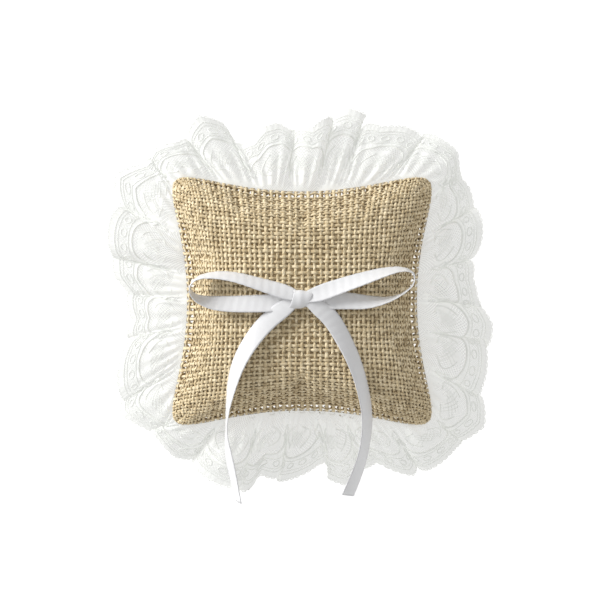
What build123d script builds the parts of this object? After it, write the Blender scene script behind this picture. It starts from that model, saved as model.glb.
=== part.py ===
from build123d import *

import os
from math import cos, pi, radians, sin

# A ring bearer pillow lying on its back: a small stuffed burlap cushion with a gathered lace
# frill in its seam and a ribbon bow on its front. Millimetres. +Z points out of the front,
# +Y to the cushion's top edge. The origin is the middle of the flat that the cushion rests on.

# Cushion
CORNER_X = 57.0  # half width of the square that the seam line is drawn in
CORNER_Y = 53.8  # half height of it
PULL_IN = 0.19  # share by which the stuffing draws the middle of each side in
SQUARENESS = 8.0  # exponent of the rounded square at the seam
CROWN_SQUARENESS = 2.6  # the same at the top of the crown
SEAM_Z = 15.0  # height of the seam above the rest face
THICKNESS = 36.0  # rest face to the top of the crown
# Sizes of the outline at the levels that the halves are drawn through, as shares of the seam's.
# The last of each is its level patch: on top of the crown, and the face it rests on.
FRONT_SCALES = [1.0, 0.975, 0.91, 0.8, 0.62, 0.4, 0.16]
BACK_SCALES = [1.0, 0.975, 0.91, 0.79, 0.6]
CROWN_SHAPE = 2.3  # exponents of the crown's profile
CROWN_EDGE = 0.62
SIDE_STEPS = 6  # outline points along each side

# Cloth layers, each a wall inside the one before
BURLAP = 1.2
LINING = 0.3
LINING_FACE_INSET = 1.3  # under the front and back faces the lining lies against the burlap
LINING_SIDE_INSET = 4.6  # at the edge it stays clear of the seam allowance
STUFFING_GAP = 0.7  # between the lining and the filling
SEAM_GAP = 1.8  # room between the two panels for the lace and the seam's threads
LINING_GAP = 0.7  # and between the lining's two halves for theirs

# Lace frill
LACE = 0.6
HEADER_INSET = 3.3  # the lace reaches this far in past the seam line
HEADER_OUT = 1.0  # and lies flat to this far outside it
FRILL_X = 76.0  # half width of the square that the outer edge is drawn in
FRILL_Y = 77.0
FRILL_PULL_IN = 0.05
FRILL_SQUARENESS = 6.0
FRILL_Z = 7.2  # mean height of the outer edge
GATHERS = 28
GATHER_STEPS = 4  # outline points in each gather
GATHER_RISE = 5.4  # half the height of a gather at the outer edge
GATHER_REACH = 1.4  # and how far its crest reaches out past the mean line

# Threads
THREAD = 0.45
SEAM_STITCH_INSET = 0.6
THREAD_CLEAR = 0.05
GATHERING_INSET = 2.4
CLOSING_STITCHES = 11  # along the gap that the cushion was turned and stuffed through
CLOSING_SPAN = 40.0
CLOSING_STITCH = 3.2
CLOSING_LEAN = 28.0  # degrees

# Ribbon and bow
RIBBON_WIDTH = 7.0
RIBBON = 0.5
KNOT_X, KNOT_Y, KNOT_Z = 9.2, 7.2, 4.4
KNOT_CLEAR = 0.3  # the knot sits this far above the crown
KNOT_ROUND = 1.9
LOOP_GAP = 2.3  # between the knot's ribbon ends and the loops that move
TAIL_GAP = 4.2  # between the knot's ribbon ends and the tails that move
TACK_SPAN = 4.0
TACK_DEPTH = 5.0

# A ribbon's route: the middle of its width, and its roll about its length in degrees,
# 0 with the satin side up, 90 on edge.
LEFT_LOOP = [
    (-13.0, 5.4, 38.2, 148),
    (-19.5, 7.6, 38.2, 136),
    (-26.5, 9.6, 37.6, 127),
    (-34.0, 10.2, 36.9, 117),
    (-40.5, 8.9, 36.4, 102),
    (-43.9, 5.3, 36.2, 90),
    (-42.4, 2.0, 36.0, 66),
    (-37.0, -0.4, 35.6, 38),
    (-30.0, -1.2, 36.0, 26),
    (-22.0, -1.2, 37.0, 20),
    (-13.0, -0.9, 37.4, 12),
]
RIGHT_LOOP = [
    (13.0, 5.3, 38.9, 156),
    (18.2, 6.9, 39.3, 148),
    (24.5, 8.9, 39.2, 140),
    (31.5, 11.1, 38.3, 128),
    (38.5, 12.2, 37.3, 112),
    (43.3, 10.6, 36.7, 95),
    (43.7, 7.4, 36.3, 90),
    (40.0, 3.4, 36.0, 80),
    (33.5, 0.6, 36.2, 66),
    (25.5, -0.4, 36.8, 44),
    (18.5, 0.1, 37.4, 24),
    (13.0, 0.5, 37.4, 10),
]

# The tails hang free over the cushion's lower edge and end over the lace.
LEFT_TAIL = [
    (-13.6, -8.0, 37.4),
    (-19.0, -14.8, 36.6),
    (-24.4, -24.0, 35.9),
    (-28.2, -35.0, 32.8),
    (-29.9, -46.5, 27.2),
    (-29.4, -58.0, 21.2),
    (-27.4, -69.5, 17.0),
    (-25.2, -79.2, 15.0),
]
RIGHT_TAIL = [
    (11.2, -6.4, 37.4),
    (15.6, -13.6, 36.7),
    (20.4, -23.2, 36.0),
    (24.0, -34.2, 33.2),
    (25.9, -46.0, 27.6),
    (24.9, -57.5, 21.5),
    (22.0, -68.0, 17.2),
    (18.2, -76.6, 15.2),
]
FILLET_SHARE = 0.45  # of the shorter of a corner's two runs


def export(name, shape):
    """Write one named piece, a solid or a group of solids, to its own file."""
    export_step(shape, f"parts/{name}.step")


def rounded_square(half_x, half_y, pull_in, squareness, steps):
    """Points round a square with rounded corners and sides that draw in, from a corner on."""
    points = []
    for side in range(4):
        for step in range(steps):
            along = -1 + 2 * step / steps
            u, v = [(1, along), (-along, 1), (-1, -along), (along, -1)][side]
            shrink = (abs(u) ** squareness + abs(v) ** squareness) ** (-1 / squareness)
            u, v = u * shrink, v * shrink
            x = half_x * u * (1 - pull_in * (1 - v * v))
            y = half_y * v * (1 - pull_in * (1 - u * u))
            points.append((x, y))
    return points


def seam_outline(inset, z, scale=1.0):
    """The cushion's outline at a height, as one closed curve, drawn in by an inset."""
    squareness = CROWN_SQUARENESS + (SQUARENESS - CROWN_SQUARENESS) * scale
    points = rounded_square(
        (CORNER_X - inset) * scale,
        (CORNER_Y - inset) * scale,
        PULL_IN * scale * scale,
        squareness,
        SIDE_STEPS,
    )
    return Edge.make_spline([(x, y, z) for x, y in points], periodic=True)


def crown_profile(scale):
    """Height of the crown, from 0 at the seam to 1 in the middle, where the outline has a scale."""
    return (1 - scale**CROWN_SHAPE) ** CROWN_EDGE


def level_sections(front, side_inset, face_inset, gap):
    """Outlines of one half of the cushion, from the seam to its crown or its rest face."""
    scales = FRONT_SCALES if front else BACK_SCALES
    start = SEAM_Z + gap / 2 if front else SEAM_Z - gap / 2
    end = THICKNESS - face_inset if front else face_inset
    sections = []
    for scale in scales:
        height = start + (end - start) * crown_profile(scale) / crown_profile(scales[-1])
        sections.append(Wire([seam_outline(side_inset, height, scale)]))
    return sections


def cushion_solid(side_inset, face_inset):
    """The filled cushion as one solid, smaller by an inset at its edge and one at its faces."""
    back = level_sections(False, side_inset, face_inset, 0)
    front = level_sections(True, side_inset, face_inset, 0)
    return Solid.make_loft(back[:0:-1] + front)


def half_wall(front, outer_insets, inner_insets, gap):
    """The cloth of one half of the cushion, open at the seam, between two pairs of insets."""
    outer = level_sections(front, *outer_insets, gap)
    inner = level_sections(front, *inner_insets, gap)
    faces = [Face(outer[0], [inner[0]])]
    for sections in (outer, inner):
        domed = Solid.make_loft(sections).faces().sort_by(Axis.Z)
        faces += domed[1:] if front else domed[:-1]
    return Solid(Shell(faces))


def frill_edge(z_offset):
    """The frill's outer edge: a rounded square that rises and falls with the gathers."""
    plan = rounded_square(
        FRILL_X, FRILL_Y, FRILL_PULL_IN, FRILL_SQUARENESS, GATHERS * GATHER_STEPS // 4
    )
    points = []
    for index, (x, y) in enumerate(plan):
        phase = 2 * pi * index / GATHER_STEPS
        reach = 1 + GATHER_REACH * cos(phase) / CORNER_X
        points.append((x * reach, y * reach, FRILL_Z + GATHER_RISE * sin(phase) + z_offset))
    return Edge.make_spline(points, periodic=True)


def lace_ring():
    """The lace strip: a flat header in the seam and a fluted flounce round the cushion."""
    top, bottom = SEAM_Z + LACE / 2, SEAM_Z - LACE / 2
    loops = [
        seam_outline(HEADER_INSET, top),
        seam_outline(-HEADER_OUT, top),
        frill_edge(LACE / 2),
        frill_edge(-LACE / 2),
        seam_outline(-HEADER_OUT, bottom),
        seam_outline(HEADER_INSET, bottom),
    ]
    faces = []
    for index, loop in enumerate(loops):
        faces.append(Face.make_surface_from_curves(loop, loops[(index + 1) % len(loops)]))
    return Solid(Shell(faces))


def thread_round(inset, height):
    """A thread that runs all the way round the cushion, drawn in by an inset, at a height."""
    line = seam_outline(inset, height)
    return sweep(Plane(origin=line @ 0, z_dir=line % 0) * Circle(THREAD / 2), path=line)


def closing_stitches():
    """Slanted hand stitches under the frill, across the gap in the lower edge."""
    leg_height = CLOSING_STITCH * cos(radians(CLOSING_LEAN))
    curve = seam_outline(-THREAD, SEAM_Z - LACE / 2 - THREAD - leg_height / 2)
    middle = 0.875  # the lower side is the last quarter of the outline
    share = CLOSING_SPAN / curve.length
    legs = []
    for n in range(CLOSING_STITCHES):
        place = middle + share * (n / (CLOSING_STITCHES - 1) - 0.5)
        leg = Rot(0, CLOSING_LEAN, 0) * Cylinder(THREAD / 2, CLOSING_STITCH)
        legs.append(Pos(*(curve @ place)) * leg)
    return Compound(children=legs)


def ribbon_band(route, hand):
    """A band of ribbon along a route of points with rolls; hand is 1, or -1 mirrored."""
    line = Edge.make_spline([point[:3] for point in route])
    corners = [[], [], [], []]
    for x, y, z, roll in route:
        along = line.tangent_at(line.param_at_point(Vector(x, y, z)))
        level = along.cross(Vector(0, 0, 1)).normalized() * hand
        upright = level.cross(along).normalized() * hand
        across = level * cos(radians(roll)) + upright * sin(radians(roll))
        through = along.cross(across).normalized()
        for corner, (a, t) in zip(corners, [(1, 1), (-1, 1), (-1, -1), (1, -1)]):
            offset = across * (a * RIBBON_WIDTH / 2) + through * (t * RIBBON / 2)
            corner.append(Vector(x, y, z) + offset)
    edges = [Edge.make_spline(corner) for corner in corners]
    faces = [
        Face.make_surface_from_curves(edges[n], edges[(n + 1) % 4]) for n in range(4)
    ]
    for end in (0, -1):
        loop = Wire.make_polygon([corner[end] for corner in corners], close=True)
        faces.append(Face.make_surface(loop))
    return Solid(Shell(faces))


def ribbon_tail(route):
    """A free end of ribbon: straight runs joined by tangent arcs, with a flat section."""
    points = [Vector(*point) for point in route]
    radii = []
    for before, corner, after in zip(points, points[1:], points[2:]):
        turn = (corner - before).get_angle(after - corner)
        shorter = min((corner - before).length, (after - corner).length)
        radii.append(FILLET_SHARE * shorter / abs(sin(radians(turn / 2)) / cos(radians(turn / 2))))
    path = FilletPolyline(*route, radius=radii)
    start = path.location_at(0)
    along = path % 0
    across = along.cross(Vector(0, 0, 1)).normalized()
    section = Plane(origin=start.position, x_dir=across, z_dir=along) * Rectangle(RIBBON_WIDTH, RIBBON)
    tail = sweep(section, path=path)
    print("radii", [round(radius, 1) for radius in radii], "length", round(path.length, 2))
    print("volume", round(tail.volume, 2), "of", round(path.length * RIBBON_WIDTH * RIBBON, 2))
    return tail


def knot_end(start, target, gap):
    """The short band that the knot holds, from inside the knot to a gap before the target."""
    start, end = Vector(*start), Vector(*target)
    reach = (end - start).normalized()
    end = end - reach * gap
    length = (end - start).length
    across = reach.cross(Vector(0, 0, 1)).normalized()
    place = Plane(origin=(start + end) * 0.5, x_dir=reach, z_dir=across.cross(reach))
    return place * Box(length, RIBBON_WIDTH, RIBBON)


def bow_knot():
    """The knot, with the four stretches of ribbon that it holds and the two tail roots."""
    core_z = THICKNESS + KNOT_CLEAR + KNOT_Z / 2
    core = Pos(0, 0.4, core_z) * fillet(Box(KNOT_X, KNOT_Y, KNOT_Z).edges(), KNOT_ROUND)
    ends = [
        (LEFT_LOOP[0], 1.5, LOOP_GAP),
        (LEFT_LOOP[-1], -0.3, LOOP_GAP),
        (RIGHT_LOOP[0], 1.5, LOOP_GAP),
        (RIGHT_LOOP[-1], 0.2, LOOP_GAP),
        (LEFT_TAIL[0], -0.6, TAIL_GAP),
        (RIGHT_TAIL[0], -0.6, TAIL_GAP),
    ]
    knot = core
    for target, start_y, gap in ends:
        start_x = 2.0 if target[0] > 0 else -2.0
        knot += knot_end((start_x, start_y, core_z), target[:3], gap)
    return knot


def tack_stitch():
    """The thread that holds the knot to the front: a loop down through the cloth."""
    top, bottom = THICKNESS + KNOT_CLEAR + 1.0, THICKNESS - TACK_DEPTH
    path = Wire.make_polygon(
        [
            (-TACK_SPAN / 2, 0, bottom),
            (-TACK_SPAN / 2, 0, top),
            (TACK_SPAN / 2, 0, top),
            (TACK_SPAN / 2, 0, bottom),
        ]
    )
    path = path.fillet_2d(0.8, path.vertices())
    return sweep(Plane(origin=path @ 0, z_dir=path % 0) * Circle(THREAD / 2), path=path)


os.makedirs("parts", exist_ok=True)

skin, under_burlap = (0, 0), (BURLAP, BURLAP)
export("front_panel", half_wall(True, skin, under_burlap, SEAM_GAP))
export("back_panel", half_wall(False, skin, under_burlap, SEAM_GAP))

lining_outside = (LINING_SIDE_INSET, LINING_FACE_INSET)
lining_inside = (LINING_SIDE_INSET + LINING, LINING_FACE_INSET + LINING)
export("lining_front", half_wall(True, lining_outside, lining_inside, LINING_GAP))
export("lining_back", half_wall(False, lining_outside, lining_inside, LINING_GAP))
export("stuffing", cushion_solid(lining_inside[0] + STUFFING_GAP, lining_inside[1] + STUFFING_GAP))

export("lace_frill", lace_ring())
thread_rise = LACE / 2 + THREAD_CLEAR + THREAD / 2
export("gathering_thread", thread_round(GATHERING_INSET, SEAM_Z + thread_rise))
needle_thread = thread_round(SEAM_STITCH_INSET, SEAM_Z + thread_rise)
bobbin_thread = thread_round(SEAM_STITCH_INSET, SEAM_Z - thread_rise)
export("seam_thread", Compound(children=[needle_thread, bobbin_thread]))
export("lining_seam_thread", thread_round(LINING_SIDE_INSET + LINING / 2, SEAM_Z))
export("closing_stitches", closing_stitches())

export("bow_knot", bow_knot())
export("bow_loop_left", ribbon_band(LEFT_LOOP, 1))
export("bow_loop_right", ribbon_band(RIGHT_LOOP, -1))
export("ribbon_tail_left", ribbon_tail(LEFT_TAIL))
export("ribbon_tail_right", ribbon_tail(RIGHT_TAIL))
export("bow_tack_stitch", tack_stitch())
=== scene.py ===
"""A ring bearer pillow: a stuffed burlap cushion with a gathered lace frill and a ribbon bow."""

import logging
import math
from dataclasses import dataclass, field
from enum import Enum

import bpy
import numpy as np
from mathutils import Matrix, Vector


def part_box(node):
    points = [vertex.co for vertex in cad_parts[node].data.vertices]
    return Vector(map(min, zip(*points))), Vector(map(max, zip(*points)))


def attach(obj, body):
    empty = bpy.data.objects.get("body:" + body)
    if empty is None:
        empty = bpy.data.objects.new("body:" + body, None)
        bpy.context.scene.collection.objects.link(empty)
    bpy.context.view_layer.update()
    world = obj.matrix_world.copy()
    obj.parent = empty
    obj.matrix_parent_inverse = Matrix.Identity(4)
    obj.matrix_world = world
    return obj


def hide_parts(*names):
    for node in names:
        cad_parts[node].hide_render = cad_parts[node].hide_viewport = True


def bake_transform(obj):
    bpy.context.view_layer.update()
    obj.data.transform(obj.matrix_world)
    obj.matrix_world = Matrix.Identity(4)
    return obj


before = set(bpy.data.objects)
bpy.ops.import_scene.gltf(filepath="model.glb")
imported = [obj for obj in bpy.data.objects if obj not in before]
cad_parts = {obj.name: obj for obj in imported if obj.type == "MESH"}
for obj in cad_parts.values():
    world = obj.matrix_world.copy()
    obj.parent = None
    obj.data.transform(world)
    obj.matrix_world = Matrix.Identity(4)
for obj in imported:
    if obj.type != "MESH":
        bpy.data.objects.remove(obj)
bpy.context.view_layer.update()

MM = 0.001
LOG = logging.getLogger("ring_pillow")
UP = np.array([0.0, 0.0, 1.0])
PILLOW = "pillow"
PANEL_SPREAD = (1.134, 1.13)  # the flat panel's size over the drawn-in one's, each way
SIM_SCALE = 10  # the cloth simulation works on a larger copy
SIM_FRAMES = 20
ROLL_WINDOW = 9  # points that a ribbon's roll is evened out over


# ---------------------------------------------------------------- shader graphs


class Wire:
    """One output of a shader node, which can be used in Python expressions."""

    def __init__(self, graph: "Graph", socket: bpy.types.NodeSocket) -> None:
        """Keep the graph that the socket is in, so that sums can add nodes to it.

        Args:
            graph: the graph that the socket is in.
            socket: the output.
        """
        self.graph = graph
        self.socket = socket

    def _math(self, operation: str, first: object, second: object = 0.0) -> "Wire":
        """Add a Math node.

        Args:
            operation: Blender's name for the sum.
            first: a wire or a number.
            second: a wire or a number.

        Returns:
            The node's result.
        """
        return self.graph.node("ShaderNodeMath", {"operation": operation}, {0: first, 1: second})

    def __add__(self, other: object) -> "Wire":
        """This value plus another.

        Args:
            other: a wire or a number.

        Returns:
            The sum.
        """
        return self._math("ADD", self, other)

    __radd__ = __add__

    def __sub__(self, other: object) -> "Wire":
        """This value less another.

        Args:
            other: a wire or a number.

        Returns:
            The difference.
        """
        return self._math("SUBTRACT", self, other)

    def __rsub__(self, other: object) -> "Wire":
        """Another value less this one.

        Args:
            other: a wire or a number.

        Returns:
            The difference.
        """
        return self._math("SUBTRACT", other, self)

    def __mul__(self, other: object) -> "Wire":
        """This value times another.

        Args:
            other: a wire or a number.

        Returns:
            The product.
        """
        return self._math("MULTIPLY", self, other)

    __rmul__ = __mul__

    def __gt__(self, other: object) -> "Wire":
        """1 where this value is the greater, or else 0.

        Args:
            other: a wire or a number.

        Returns:
            1 or 0.
        """
        return self._math("GREATER_THAN", self, other)

    def __lt__(self, other: object) -> "Wire":
        """1 where this value is the smaller, or else 0.

        Args:
            other: a wire or a number.

        Returns:
            1 or 0.
        """
        return self._math("LESS_THAN", self, other)

    def size(self) -> "Wire":
        """This value without its sign.

        Returns:
            The value, never below 0.
        """
        return self._math("ABSOLUTE", self)

    def sine(self) -> "Wire":
        """The sine of this value in radians.

        Returns:
            The sine.
        """
        return self._math("SINE", self)

    def larger(self, other: object) -> "Wire":
        """The larger of this value and another.

        Args:
            other: a wire or a number.

        Returns:
            The larger.
        """
        return self._math("MAXIMUM", self, other)

    def smaller(self, other: object) -> "Wire":
        """The smaller of this value and another.

        Args:
            other: a wire or a number.

        Returns:
            The smaller.
        """
        return self._math("MINIMUM", self, other)

    def rise(self, low: float, high: float) -> "Wire":
        """0 below low and 1 above high, with a smooth step between them.

        Args:
            low: where the step starts.
            high: where it ends.

        Returns:
            A value from 0 to 1.
        """
        settings = {"interpolation_type": "SMOOTHSTEP"}
        inputs = {"Value": self, "From Min": low, "From Max": high}
        return self.graph.node("ShaderNodeMapRange", settings, inputs)


class Graph:
    """The node tree of one material."""

    def __init__(self, name: str) -> None:
        """Start an empty material with a Principled surface.

        Args:
            name: the material's name.
        """
        self.material = bpy.data.materials.new(name)
        self.material.use_nodes = True
        self.tree = self.material.node_tree
        self.tree.nodes.clear()
        self.surface = self.tree.nodes.new("ShaderNodeBsdfPrincipled")
        output = self.tree.nodes.new("ShaderNodeOutputMaterial")
        self.tree.links.new(self.surface.outputs[0], output.inputs["Surface"])

    def node(
        self,
        kind: str,
        settings: dict[str, object] | None = None,
        inputs: dict[object, object] | None = None,
        output: object = 0,
    ) -> Wire:
        """Add a node.

        Args:
            kind: the node's type.
            settings: its properties; "stops" fills a colour ramp.
            inputs: a value or a wire for each socket, by name or place.
            output: the socket that comes back.

        Returns:
            The chosen output.
        """
        node = self.tree.nodes.new(kind)
        for key, value in (settings or {}).items():
            if key == "stops":
                self._fill_ramp(node, value)
            else:
                setattr(node, key, value)
        for key, value in (inputs or {}).items():
            self.plug(node.inputs[key], value)
        return Wire(self, node.outputs[output])

    @staticmethod
    def _fill_ramp(node: bpy.types.ShaderNode, stops: list[tuple[float, tuple]]) -> None:
        """Set a ramp's stops, each a place from 0 to 1 and a colour.

        Args:
            node: the ramp.
            stops: each stop as (place, colour).
        """
        elements = node.color_ramp.elements
        while len(elements) < len(stops):
            elements.new(0.5)
        for element, (place, colour) in zip(elements, stops):
            element.position = place
            element.color = (*colour, 1.0)

    def plug(self, socket: bpy.types.NodeSocket, value: object) -> None:
        """Link a wire to a socket, or set the socket's own value.

        Args:
            socket: the input.
            value: a wire, or the value to hold.
        """
        if isinstance(value, Wire):
            self.tree.links.new(value.socket, socket)
        elif isinstance(value, tuple) and len(value) == 3 and socket.type == "RGBA":
            socket.default_value = (*value, 1.0)
        else:
            socket.default_value = value

    def set(self, **sockets: object) -> None:
        """Set the surface's sockets; an underscore in a name stands for a space.

        Args:
            **sockets: a value or a wire for each socket.
        """
        for name, value in sockets.items():
            self.plug(self.surface.inputs[name.replace("_", " ")], value)

    def place(self) -> Wire:
        """The point's own coordinates in metres.

        Returns:
            The coordinates.
        """
        return self.node("ShaderNodeTexCoord", output="Object")

    def strip(self) -> tuple[Wire, Wire]:
        """The two coordinates along and across a strip of cloth, in millimetres.

        Returns:
            The two values.
        """
        along, across = self.split(self.node("ShaderNodeUVMap", {"uv_map": "strip"}))
        return along * STRIP_UNIT, across * STRIP_UNIT

    def split(self, vector: Wire) -> tuple[Wire, Wire]:
        """The first two parts of a vector.

        Args:
            vector: the vector.

        Returns:
            Its first and second parts.
        """
        first = self.node("ShaderNodeSeparateXYZ", inputs={0: vector})
        return first, Wire(self, first.socket.node.outputs[1])

    def noise(self, vector: Wire, scale: float, detail: float = 2.0) -> Wire:
        """A cloud pattern's value, with so many clouds to the metre.

        Args:
            vector: where to read the pattern.
            scale: clouds to the metre.
            detail: octaves of it.

        Returns:
            A value from 0 to 1.
        """
        inputs = {"Vector": vector, "Scale": scale, "Detail": detail}
        return self.node("ShaderNodeTexNoise", None, inputs)

    def blend(self, factor: object, first: object, second: object) -> Wire:
        """A colour between two colours.

        Args:
            factor: share of the second, 0 to 1.
            first: a colour.
            second: a colour.

        Returns:
            The mixed colour.
        """
        inputs = {0: factor, 6: first, 7: second}
        return self.node("ShaderNodeMix", {"data_type": "RGBA"}, inputs, output=2)

    def bump(self, height: Wire, depth: float, strength: float = 0.6) -> Wire:
        """A normal bent by a height, of a depth in metres.

        Args:
            height: a value from 0 to 1.
            depth: metres from 0 to 1.
            strength: how much of it counts.

        Returns:
            The normal.
        """
        inputs = {"Height": height, "Distance": depth, "Strength": strength}
        return self.node("ShaderNodeBump", None, inputs)


STRIP_UNIT = 1000.0  # strip charts are written in metres


def shade(red: int, green: int, blue: int) -> tuple[float, float, float]:
    """A screen colour, 0 to 255 each, as the linear colour that shaders take.

    Args:
        red: 0 to 255.
        green: 0 to 255.
        blue: 0 to 255.

    Returns:
        Red, green and blue, 0 to 1 each.
    """
    parts = []
    for value in (red, green, blue):
        part = value / 255
        parts.append(part / 12.92 if part <= 0.04045 else ((part + 0.055) / 1.055) ** 2.4)
    return tuple(parts)


@dataclass(frozen=True)
class JuteFinish:
    """Coarse jute yarn: uneven straw colours, painted shade in the twist grooves, and no shine."""

    name: str
    light: tuple = shade(246, 230, 196)
    middle: tuple = shade(228, 210, 172)
    dark: tuple = shade(188, 166, 126)

    def make(self) -> bpy.types.Material:
        """Build the material.

        Returns:
            The material.
        """
        graph = Graph(self.name)
        place = graph.place()
        slub = graph.noise(place, 330.0, 4.0)
        stops = [(0.3, self.dark), (0.5, self.middle), (0.72, self.light)]
        colour = graph.node("ShaderNodeValToRGB", {"stops": stops}, {"Fac": slub})
        along, across = graph.strip()
        twist = (along * 2.6 + across * 5.0).sine() * 0.5 + 0.5
        hair = graph.noise(place, 2600.0, 3.0)
        # Painted shade: the low grooves of the twist, where the bump sinks, are darkened towards the dark
        # colour.
        twist_groove_shade = graph.blend(twist.rise(0.0, 0.55) * -0.35 + 0.35, colour, self.dark)
        fibres = graph.blend(hair.rise(0.52, 0.75) * 0.45, twist_groove_shade, self.light)
        graph.set(Base_Color=fibres, Roughness=hair * 0.2 + 0.72)
        graph.set(Normal=graph.bump(twist * 0.7 + hair * 0.5, 0.25 * MM, 0.8))
        graph.set(Sheen_Weight=0.15, Sheen_Roughness=0.5)
        return graph.material


@dataclass(frozen=True)
class ClothFinish:
    """Plain fine cloth or thread: an even weave with soft colour changes."""

    name: str
    colour: tuple
    shadow: tuple
    threads: float = 2200.0  # to the metre
    roughness: float = 0.85
    painted_glow: float = 0.0  # painted glow: emission standing in for light that comes through thin white thread

    def make(self) -> bpy.types.Material:
        """Build the material.

        Returns:
            The material.
        """
        graph = Graph(self.name)
        place = graph.place()
        along, across = graph.split(place)
        turn = 2 * math.pi * self.threads
        weave = (along * turn).sine() * (across * turn).sine() * 0.5 + 0.5
        cloud = graph.noise(place, 90.0, 3.0)
        colour = graph.blend(cloud.rise(0.3, 0.7), self.shadow, self.colour)
        woven = graph.blend(weave * 0.35, colour, self.shadow)
        graph.set(Base_Color=woven, Roughness=cloud * 0.1 + (self.roughness - 0.05))
        graph.set(Normal=graph.bump(weave, 0.12 * MM), Sheen_Weight=0.2)
        # Painted glow: the thread emits its own colour, standing in for light that shines through it.
        graph.set(Emission_Color=self.colour, Emission_Strength=self.painted_glow)
        return graph.material


@dataclass(frozen=True)
class SatinFinish:
    """White satin ribbon: fine cross ribs, woven edges, and a soft shine."""

    name: str = "white_satin"
    colour: tuple = shade(230, 230, 231)
    shadow: tuple = shade(206, 206, 209)
    ribs: float = 3.2  # to the millimetre
    half_width: float = 3.5

    def make(self) -> bpy.types.Material:
        """Build the material.

        Returns:
            The material.
        """
        graph = Graph(self.name)
        along, across = graph.strip()
        ribs = (along * (2 * math.pi * self.ribs)).sine() * 0.5 + 0.5
        edge = across.size().rise(self.half_width - 0.55, self.half_width - 0.4)
        streak = graph.noise(graph.place(), 420.0, 2.0)
        weave = ribs * 0.12 + edge * 0.25 + streak.rise(0.5, 0.8) * 0.15
        graph.set(Base_Color=graph.blend(weave, self.colour, self.shadow))
        graph.set(Roughness=ribs * 0.08 + edge * 0.25 + 0.34)
        height = ribs * 0.35 + edge * 0.8 + streak * 0.5
        graph.set(Normal=graph.bump(height, 0.06 * MM, 0.5))
        graph.set(Sheen_Weight=0.25, Anisotropic=0.4, Specular_IOR_Level=0.45)
        return graph.material


@dataclass(frozen=True)
class LaceFinish:
    """White edging lace: net with denser bands along its scalloped edge."""

    name: str = "lace_ground"
    # Grey base colours; the painted glow below lifts the lace to white.
    thread: tuple = shade(180, 181, 178)
    hollow: tuple = shade(150, 152, 148)
    cell: float = 1.15  # millimetres between the net's holes
    net: float = 0.74  # how much of the light the open net holds back

    def make(self) -> bpy.types.Material:
        """Build the material.

        Returns:
            The material.
        """
        graph = Graph(self.name)
        along, depth = graph.strip()
        turn = math.pi / self.cell
        one = ((along + depth * 0.8) * turn).sine().size()
        two = ((along - depth * 0.8) * turn).sine().size()
        mesh = 1 - one.smaller(two).rise(0.12, 0.42)
        edging = (depth < 2.6) + (depth > 7.6) * (depth < 9.8)
        ribbed = ((along * 4.4).sine() * 0.5 + 0.5).rise(0.25, 0.75)
        cloud = graph.noise(graph.place(), 150.0, 3.0)
        bloom = cloud.rise(0.50, 0.56) * (depth > 11.5)
        solid = (edging * (ribbed * 0.3 + 0.7)).larger(bloom * 0.9).larger(mesh).smaller(1.0)
        holes = (solid * (1 - self.net) + self.net).smaller(1.0)
        colour = graph.blend(solid, self.hollow, self.thread)
        graph.set(Base_Color=colour, Alpha=holes, Roughness=cloud * 0.1 + 0.7)
        height = solid * 0.8 + ribbed * edging * 0.4
        graph.set(Normal=graph.bump(height, 0.15 * MM, 0.7))
        graph.set(Sheen_Weight=0.1, Specular_IOR_Level=0.3)
        # Painted glow: the lace emits a little white light, standing in for light that shines through it and
        # bounces up from the table.
        graph.set(Emission_Color=(1.0, 1.0, 0.98), Emission_Strength=0.46)
        return graph.material


@dataclass(frozen=True)
class FillingFinish:
    """Loose white polyester fibre."""

    name: str = "fibre_filling"
    colour: tuple = shade(246, 246, 243)
    shadow: tuple = shade(206, 206, 202)

    def make(self) -> bpy.types.Material:
        """Build the material.

        Returns:
            The material.
        """
        graph = Graph(self.name)
        place = graph.place()
        tangle = graph.noise(place, 700.0, 6.0)
        graph.set(Base_Color=graph.blend(tangle.rise(0.35, 0.6), self.shadow, self.colour))
        graph.set(Roughness=tangle * 0.1 + 0.85, Normal=graph.bump(tangle, 0.8 * MM, 1.0))
        graph.set(Sheen_Weight=0.5)
        return graph.material


# ---------------------------------------------------------------- mesh helpers


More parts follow.
